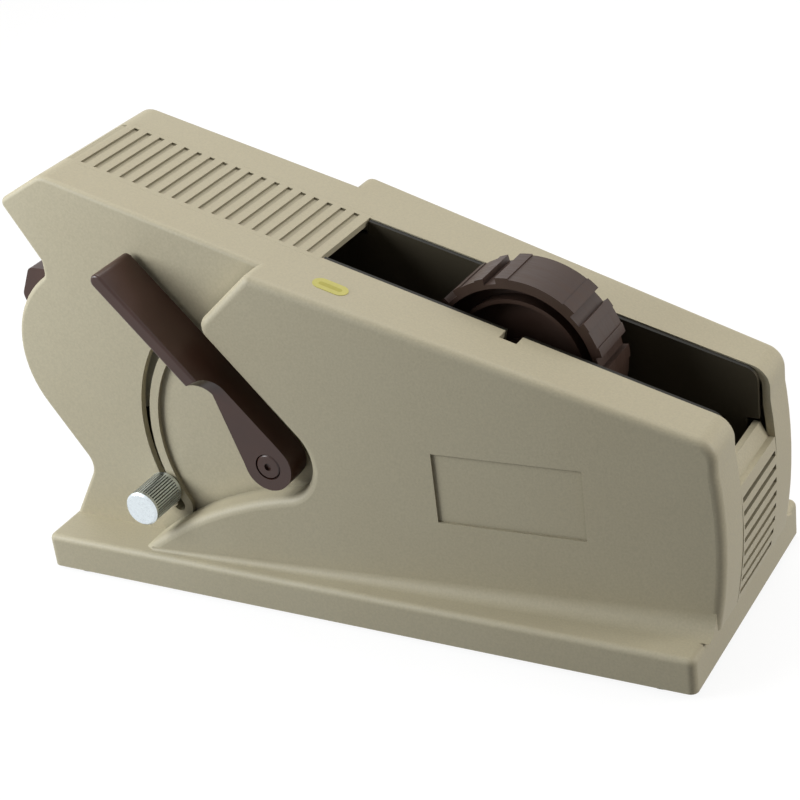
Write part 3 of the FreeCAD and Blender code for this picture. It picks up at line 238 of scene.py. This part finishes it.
# Housing: two side shells, a grooved top cover and a ribbed rear panel, moulded in the same beige ABS as the
# base. The shells stand on the base round the inner frame, and cover and panel close them above and behind.
finish_with(beige_abs, "lever_side_shell", "plain_side_shell", "top_cover", "rear_panel")

# Sticker: a slim plain pill of yellow paper, stuck on the sloping top of the lever-side shell beside the
# well. It is cut with round ends, and its middle field is a little sunk and more olive. Paper is matt and
# faintly mottled by its fibres, drawn 1.2 mm across so that they show.
sticker_length = 0.0148
sticker_width = 0.0072
sticker_thickness = 0.00025
field_border = 0.0024
field_depth = 0.00008
edge_softness = 0.00006
fibre_size = 0.0012
paper_finishes = (("yellow_paper_label", "#cfc878", "#c3bb6a"),
                  ("olive_paper_field", "#bab25c", "#aea551"))

# The shell's top has this height above the origin and falls by this much per metre towards the rear. The
# lift is measured from the top to the middle of the paper's thickness.
sticker_x = -0.001
sticker_y = -0.0361
top_height = 0.1384
top_fall = 0.288
paper_lift = 0.00012
past_middle = 0.00001

bpy.ops.mesh.primitive_cylinder_add(vertices=64, radius=sticker_width / 2, depth=sticker_thickness,
                                    location=(0, 0, 0))
sticker = bpy.context.active_object
sticker.name = "paper_sticker"
sticker.data.name = "paper_sticker"
for end in (-1, 1):
    for vertex in sticker.data.vertices:
        vertex.select = vertex.co.x * end > past_middle
    for face in sticker.data.polygons:
        face.select = False
    for side in sticker.data.edges:
        side.select = all(sticker.data.vertices[corner].select for corner in side.vertices)
    bpy.ops.object.mode_set(mode="EDIT")
    bpy.ops.transform.translate(value=(end * (sticker_length - sticker_width) / 2, 0, 0))
    bpy.ops.object.mode_set(mode="OBJECT")
for paper_name, pale, deep in paper_finishes:
    paper, tree, shader = new_material(paper_name, IOR=1.48, Roughness=0.7)
    place = add(tree, "ShaderNodeTexCoord")
    fibres = add(tree, "ShaderNodeTexNoise", {"Vector": place.outputs["Object"], "Scale": 1 / fibre_size,
                                              "Detail": 4.0})
    colour = add(tree, "ShaderNodeMix", {"Factor": fibres.outputs["Fac"], "A": linear(pale),
                                         "B": linear(deep)}, data_type="RGBA")
    tree.links.new(colour.outputs["Result"], shader.inputs["Base Color"])
    sticker.data.materials.append(paper)
bpy.ops.object.mode_set(mode="EDIT")
bpy.ops.mesh.select_mode(type="FACE")
bpy.ops.mesh.select_all(action="DESELECT")
bpy.ops.object.mode_set(mode="OBJECT")
for face in sticker.data.polygons:
    face.select = face.normal.z > 0.9
bpy.ops.object.mode_set(mode="EDIT")
bpy.ops.mesh.inset(thickness=field_border, depth=-field_depth)
sticker.active_material_index = 1
bpy.ops.object.material_slot_assign()
bpy.ops.object.mode_set(mode="OBJECT")
edge = sticker.modifiers.new("soft_edge", "BEVEL")
edge.width = edge_softness
edge.segments = 2
bpy.ops.object.modifier_apply(modifier="soft_edge")
sticker.data.transform(Matrix.Rotation(math.atan(top_fall), 4, "Y"))
sticker_z = top_height - top_fall * sticker_x + paper_lift
sticker.data.transform(Matrix.Translation((sticker_x, sticker_y, sticker_z)))
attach(sticker, "housing")

# Cutter head: a block moulded in dark brown polystyrene and fitted to the round front of the nose, below the
# mouth. A serrated strip of steel lies on its face under two screws, its teeth standing past the upper edge.
# Polystyrene is glossy, and handling breaks the gloss with faint smears about 12 mm across.
dark_brown = "#341b12"
handled_brown = "#3e2319"
smear_size = 0.012
brown_polystyrene, tree, shader = new_material("brown_polystyrene", IOR=1.55, Specular_IOR_Level=0.4)
place = add(tree, "ShaderNodeTexCoord")
smears = add(tree, "ShaderNodeTexNoise", {"Vector": place.outputs["Object"], "Scale": 1 / smear_size,
                                          "Detail": 2.0})
colour = add(tree, "ShaderNodeMix", {"Factor": smears.outputs["Fac"], "A": linear(dark_brown),
                                     "B": linear(handled_brown)}, data_type="RGBA")
tree.links.new(colour.outputs["Result"], shader.inputs["Base Color"])
gloss = add(tree, "ShaderNodeMapRange", {"Value": smears.outputs["Fac"], "From Min": 0.1, "From Max": 0.9,
                                         "To Min": 0.26, "To Max": 0.40})
tree.links.new(gloss.outputs["Result"], shader.inputs["Roughness"])
finish_with(brown_polystyrene, "cutter_head")
finish_with(plated_steel, "cutter_blade", "blade_screws")

# Lever: one moulding in the same brown polystyrene, with a round boss, a cranked arm and a broad paddle. It
# sits on the outer end of the lever shaft, under a brown cap with a small socket for a driver.
finish_with(brown_polystyrene, "lever", "lever_screw")

# Length stop: a plated steel stud, its flange behind the shell, comes out through the arc slot, and a knob
# turns on its end. The knob is turned from steel, knurled, faced clean and nickel plated, brighter than the
# inner parts and a little hazy. Its knurl is darkened about 1 mm deep, a painted shade.
hazy_nickel = "#c8d0d4"
clear_nickel = "#e4ecf0"
haze_size = 0.0008
knurl_shade_reach = 0.001
nickel_plate, tree, shader = new_material("nickel_plated_steel", Metallic=1.0)
place = add(tree, "ShaderNodeTexCoord")
haze = add(tree, "ShaderNodeTexNoise", {"Vector": place.outputs["Object"], "Scale": 1 / haze_size,
                                        "Detail": 3.0})
colour = add(tree, "ShaderNodeMix", {"Factor": haze.outputs["Fac"], "A": linear(hazy_nickel),
                                     "B": linear(clear_nickel)}, data_type="RGBA")
# Painted shade: the knurl's grooves are darkened by ambient occlusion within the knob.
occlusion = add(tree, "ShaderNodeAmbientOcclusion", {"Distance": knurl_shade_reach}, samples=8, only_local=True)
knurl_shade = add(tree, "ShaderNodeMapRange", {"Value": occlusion.outputs["AO"], "From Min": 0.5, "From Max": 0.95,
                                         "To Min": 0.25, "To Max": 1.0})
knurl_shaded = add(tree, "ShaderNodeMix", {"Factor": 1.0, "A": colour.outputs["Result"],
                                    "B": knurl_shade.outputs["Result"]}, data_type="RGBA", blend_type="MULTIPLY")
tree.links.new(knurl_shaded.outputs["Result"], shader.inputs["Base Color"])
polish = add(tree, "ShaderNodeMapRange", {"Value": haze.outputs["Fac"], "To Min": 0.2, "To Max": 0.4})
tree.links.new(polish.outputs["Result"], shader.inputs["Roughness"])
finish_with(nickel_plate, "length_knob")
finish_with(plated_steel, "stop_stud")

# Tape hub: one moulding in brown polystyrene, with broad and narrow pads that grip the tape's cardboard
# core. It turns on a plated steel axle that lies in two notches, and both lift out together. Cores sliding
# over the pads leave grey scuffs round the hub, 1.5 mm apart and about 15 mm long. Its brown is also painted
# lighter and greyer than the lever's, a painted sheen.
# Painted sheen: both browns are lighter and greyer than the lever's brown; the scuffs vary between them.
painted_sheen_brown = "#33221b"
scuffed_painted_sheen_brown = "#44332a"
scuff_spacing = 0.0015
scuff_stretch = 10
scuffed_painted_sheen_polystyrene, tree, shader = new_material("scuffed_painted_sheen_brown_polystyrene", IOR=1.55,
                                                 Specular_IOR_Level=0.3)
place = add(tree, "ShaderNodeTexCoord")
around = add(tree, "ShaderNodeMapping", {"Vector": place.outputs["Object"],
                                         "Scale": (1 / scuff_stretch, 1, 1 / scuff_stretch)})
scuffs = add(tree, "ShaderNodeTexNoise", {"Vector": around.outputs["Vector"], "Scale": 1 / scuff_spacing,
                                          "Detail": 4.0})
colour = add(tree, "ShaderNodeMix", {"Factor": scuffs.outputs["Fac"], "A": linear(painted_sheen_brown),
                                     "B": linear(scuffed_painted_sheen_brown)}, data_type="RGBA")
tree.links.new(colour.outputs["Result"], shader.inputs["Base Color"])
dulled = add(tree, "ShaderNodeMapRange", {"Value": scuffs.outputs["Fac"], "From Min": 0.3, "From Max": 0.7,
                                          "To Min": 0.35, "To Max": 0.55})
tree.links.new(dulled.outputs["Result"], shader.inputs["Roughness"])
finish_with(scuffed_painted_sheen_polystyrene, "tape_hub")
finish_with(plated_steel, "hub_axle")

# Studio floor: a wide sheet of paper laid flat under the feet, which keeps the object's shadow. It is lifted
# to white for the camera, in reflections and through clear pieces only, so it throws little light back.
sheet_size = 12.0
sheet_grey = "#616161"
white_lift = 0.89


def seen_directly(tree):
    """1 where a ray comes straight from the camera, a reflection or a clear piece, else 0."""
    ray = add(tree, "ShaderNodeLightPath")
    direct = add(tree, "ShaderNodeMath", {0: ray.outputs["Is Camera Ray"], 1: ray.outputs["Is Glossy Ray"]},
                 operation="MAXIMUM")
    seen = add(tree, "ShaderNodeMath", {0: direct.outputs["Value"], 1: ray.outputs["Is Transmission Ray"]},
               operation="MAXIMUM")
    return seen.outputs["Value"]


bpy.ops.mesh.primitive_plane_add(size=sheet_size, location=(0, 0, 0))
floor = bpy.context.active_object
floor.name = "studio_floor"
paper_sheet, tree, shader = new_material("white_paper_sheet", Roughness=0.9, Base_Color=linear(sheet_grey),
                                         Emission_Color=linear("#ffffff"))
lift = add(tree, "ShaderNodeMath", {0: seen_directly(tree), 1: white_lift}, operation="MULTIPLY")
tree.links.new(lift.outputs["Value"], shader.inputs["Emission Strength"])
floor.data.materials.append(paper_sheet)

# Studio light: a soft lamp close to the nose on the lever side, so that the side falls off towards the rear,
# a large one overhead and one further off at the rear. The room looks white but gives little light.
room_white = 1.0
room_light = 0.08
world = bpy.data.worlds.new("studio_room")
world.use_nodes = True
scene.world = world
tree = world.node_tree
strength = add(tree, "ShaderNodeMapRange", {"Value": seen_directly(tree), "To Min": room_light,
                                            "To Max": room_white})
background = tree.nodes["Background"]
background.inputs["Color"].default_value = linear("#ffffff")
tree.links.new(strength.outputs["Result"], background.inputs["Strength"])


def soft_lamp(name, place, aim, size, power, colour):
    """A square lamp at a place, turned towards the point it aims at."""
    data = bpy.data.lights.new(name, "AREA")
    data.shape = "SQUARE"
    data.size = size
    data.energy = power
    data.color = linear(colour)[:3]
    lamp = bpy.data.objects.new(name, data)
    lamp.location = place
    lamp.rotation_euler = (Vector(aim) - Vector(place)).to_track_quat("-Z", "Y").to_euler()
    scene.collection.objects.link(lamp)


soft_lamp("window_softbox", place=(-0.48, -0.40, 0.36), aim=(-0.10, 0, 0.07), size=0.34, power=4.2,
          colour="#f8fcff")
soft_lamp("overhead_softbox", place=(-0.20, 0.35, 1.30), aim=(0, 0, 0.10), size=1.0, power=9.4,
          colour="#fffdf8")
soft_lamp("rear_softbox", place=(1.0, 0.35, 0.5), aim=(0.1, 0, 0.08), size=0.5, power=5.6,
          colour="#fffdf8")

# Picture: colours are shown as they are written.
scene.view_settings.view_transform = "Standard"
